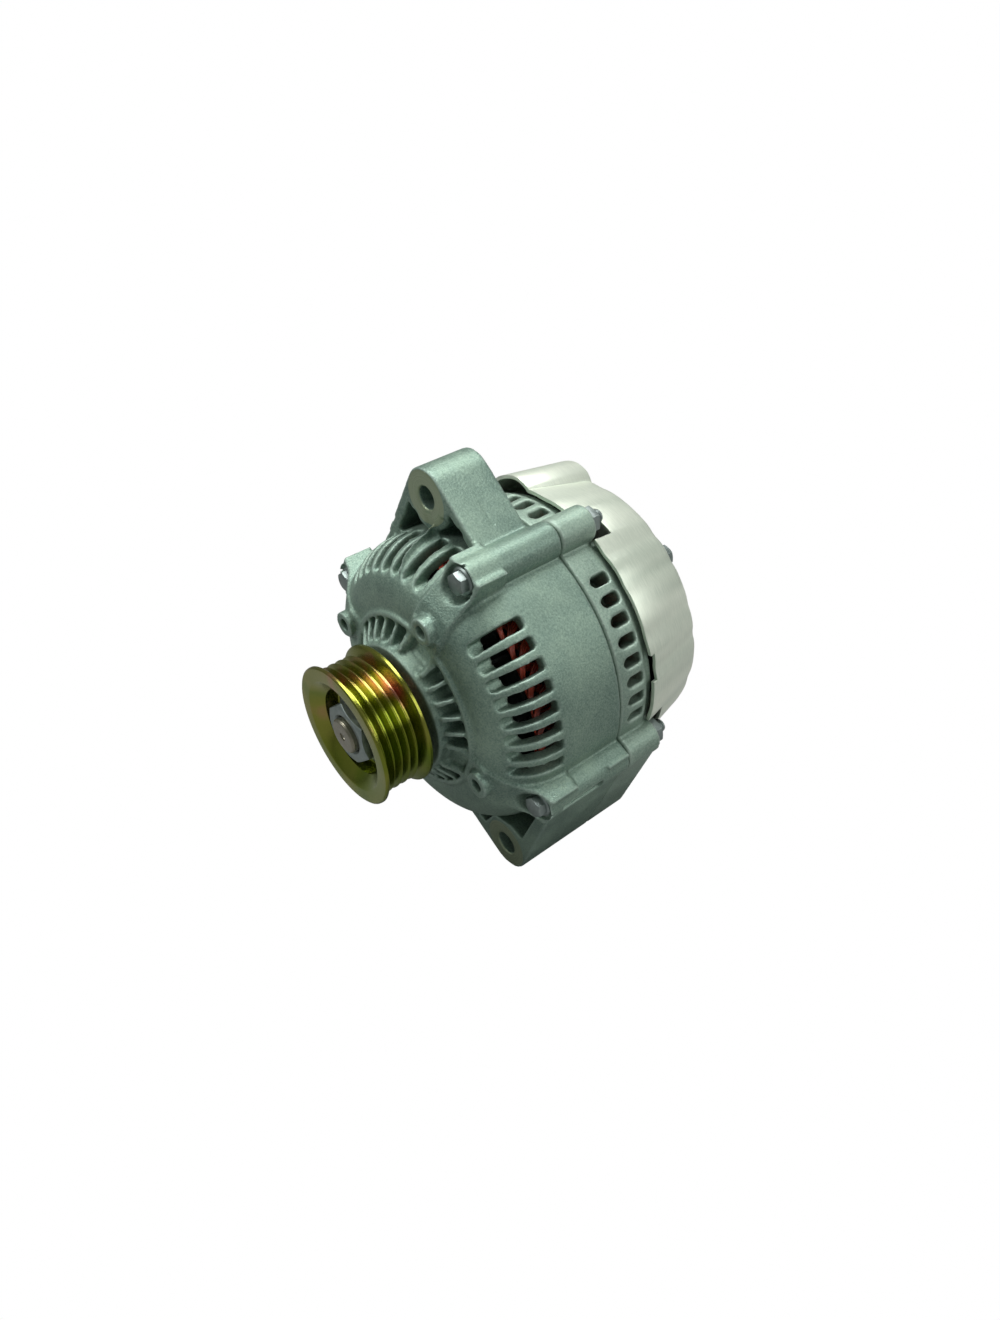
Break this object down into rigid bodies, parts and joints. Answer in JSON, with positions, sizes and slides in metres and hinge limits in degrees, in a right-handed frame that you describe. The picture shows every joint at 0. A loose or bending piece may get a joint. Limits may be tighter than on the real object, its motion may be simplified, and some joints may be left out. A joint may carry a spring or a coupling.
{
  "type": "car alternator",
  "caption": "Belt driven car alternator: grooved pulley, slotted cast end housings bolted together, pivot foot, threaded bracket lug and a pressed rear cover.",
  "frame": {"origin": "centre of the rotor shaft's flat nose, flush with the pulley's front face", "axes": "-Y out of the shaft nose at the pulley end, +Y towards the rear cover, +Z from the shaft to the threaded upper bracket lug"},
  "size_m": [0.1312, 0.158, 0.1757],
  "materials": {
    "cast_front": "satin cast",
    "cast_rear": "satin cast",
    "laminate": "bare stacked sheet",
    "enamel_copper": "enamelled wire",
    "steel": "machined",
    "slip_copper": "polished",
    "black_plastic": "moulded",
    "carbon": "pressed carbon",
    "gold_zinc": "yellow zinc plate",
    "bright_zinc": "zinc plate",
    "sink_aluminium": "plain",
    "cover_tin": "satin pressed sheet"
  },
  "bodies": {
    "housing": {"drive_end_housing": "cast_front", "rear_housing": "cast_rear", "stator_core": "laminate", "stator_winding": "enamel_copper", "front_bearing_outer_ring": "steel", "rear_bearing_outer_ring": "steel", "bearing_retainer": "steel", "brush_spring_1": "steel", "brush_spring_2": "steel", "connector_pin_1": "slip_copper", "connector_pin_2": "slip_copper", "brush_holder": "black_plastic", "connector_socket": "black_plastic", "output_insulator": "black_plastic", "output_stud": "bright_zinc", "output_nut": "bright_zinc", "through_bolt_1": "bright_zinc", "through_bolt_2": "bright_zinc", "through_bolt_3": "bright_zinc", "through_bolt_4": "bright_zinc", "bolt_nut_1": "bright_zinc", "bolt_nut_2": "bright_zinc", "bolt_nut_3": "bright_zinc", "bolt_nut_4": "bright_zinc", "retainer_screw_1": "bright_zinc", "retainer_screw_2": "bright_zinc", "retainer_screw_3": "bright_zinc", "retainer_screw_4": "bright_zinc", "cover_screw_1": "bright_zinc", "cover_screw_2": "bright_zinc", "cover_screw_3": "bright_zinc", "ground_diode_1": "bright_zinc", "ground_diode_2": "bright_zinc", "ground_diode_3": "bright_zinc", "positive_diode_1": "bright_zinc", "positive_diode_2": "bright_zinc", "positive_diode_3": "bright_zinc", "ground_heat_sink": "sink_aluminium", "positive_heat_sink": "sink_aluminium", "voltage_regulator": "sink_aluminium", "rear_cover": "cover_tin"},
    "rotor": {"rotor_shaft": "steel", "front_claw_pole": "steel", "rear_claw_pole": "steel", "field_coil": "enamel_copper", "front_fan": "steel", "rear_fan": "steel", "slip_ring_insulator": "black_plastic", "slip_ring_front": "slip_copper", "slip_ring_rear": "slip_copper", "pulley": "gold_zinc", "pulley_nut": "bright_zinc", "lock_washer": "bright_zinc", "collar": "steel", "front_bearing_inner_ring": "steel", "rear_bearing_inner_ring": "steel"},
    "front_ball_cage": {"front_bearing_ball_cage": "steel"},
    "rear_ball_cage": {"rear_bearing_ball_cage": "steel"},
    "front_brush": {"brush_1": "carbon"},
    "rear_brush": {"brush_2": "carbon"}
  },
  "joints": [
    {"name": "rotor_spin", "type": "hinge", "parent": "housing", "child": "rotor", "pos_m": [0, 0, 0], "axis": [0, 1, 0], "continuous": true},
    {"name": "front_cage_spin", "type": "hinge", "parent": "housing", "child": "front_ball_cage", "pos_m": [0, 0.037, 0], "axis": [0, 1, 0], "continuous": true},
    {"name": "rear_cage_spin", "type": "hinge", "parent": "housing", "child": "rear_ball_cage", "pos_m": [0, 0.0991, 0], "axis": [0, 1, 0], "continuous": true},
    {"name": "front_brush_slide", "type": "slide", "parent": "housing", "child": "front_brush", "axis": [0, 0, 1], "range_m": [0, 0.005], "stiffness_N_per_m": 200, "springref_m": -0.008, "deforming": ["brush_spring_1"]},
    {"name": "rear_brush_slide", "type": "slide", "parent": "housing", "child": "rear_brush", "axis": [0, 0, 1], "range_m": [0, 0.005], "stiffness_N_per_m": 200, "springref_m": -0.008, "deforming": ["brush_spring_2"]}
  ],
  "couplings": [
    {"joint": "front_cage_spin", "follows": "rotor_spin", "ratio": 0.4061},
    {"joint": "rear_cage_spin", "follows": "rotor_spin", "ratio": 0.4173}
  ]
}
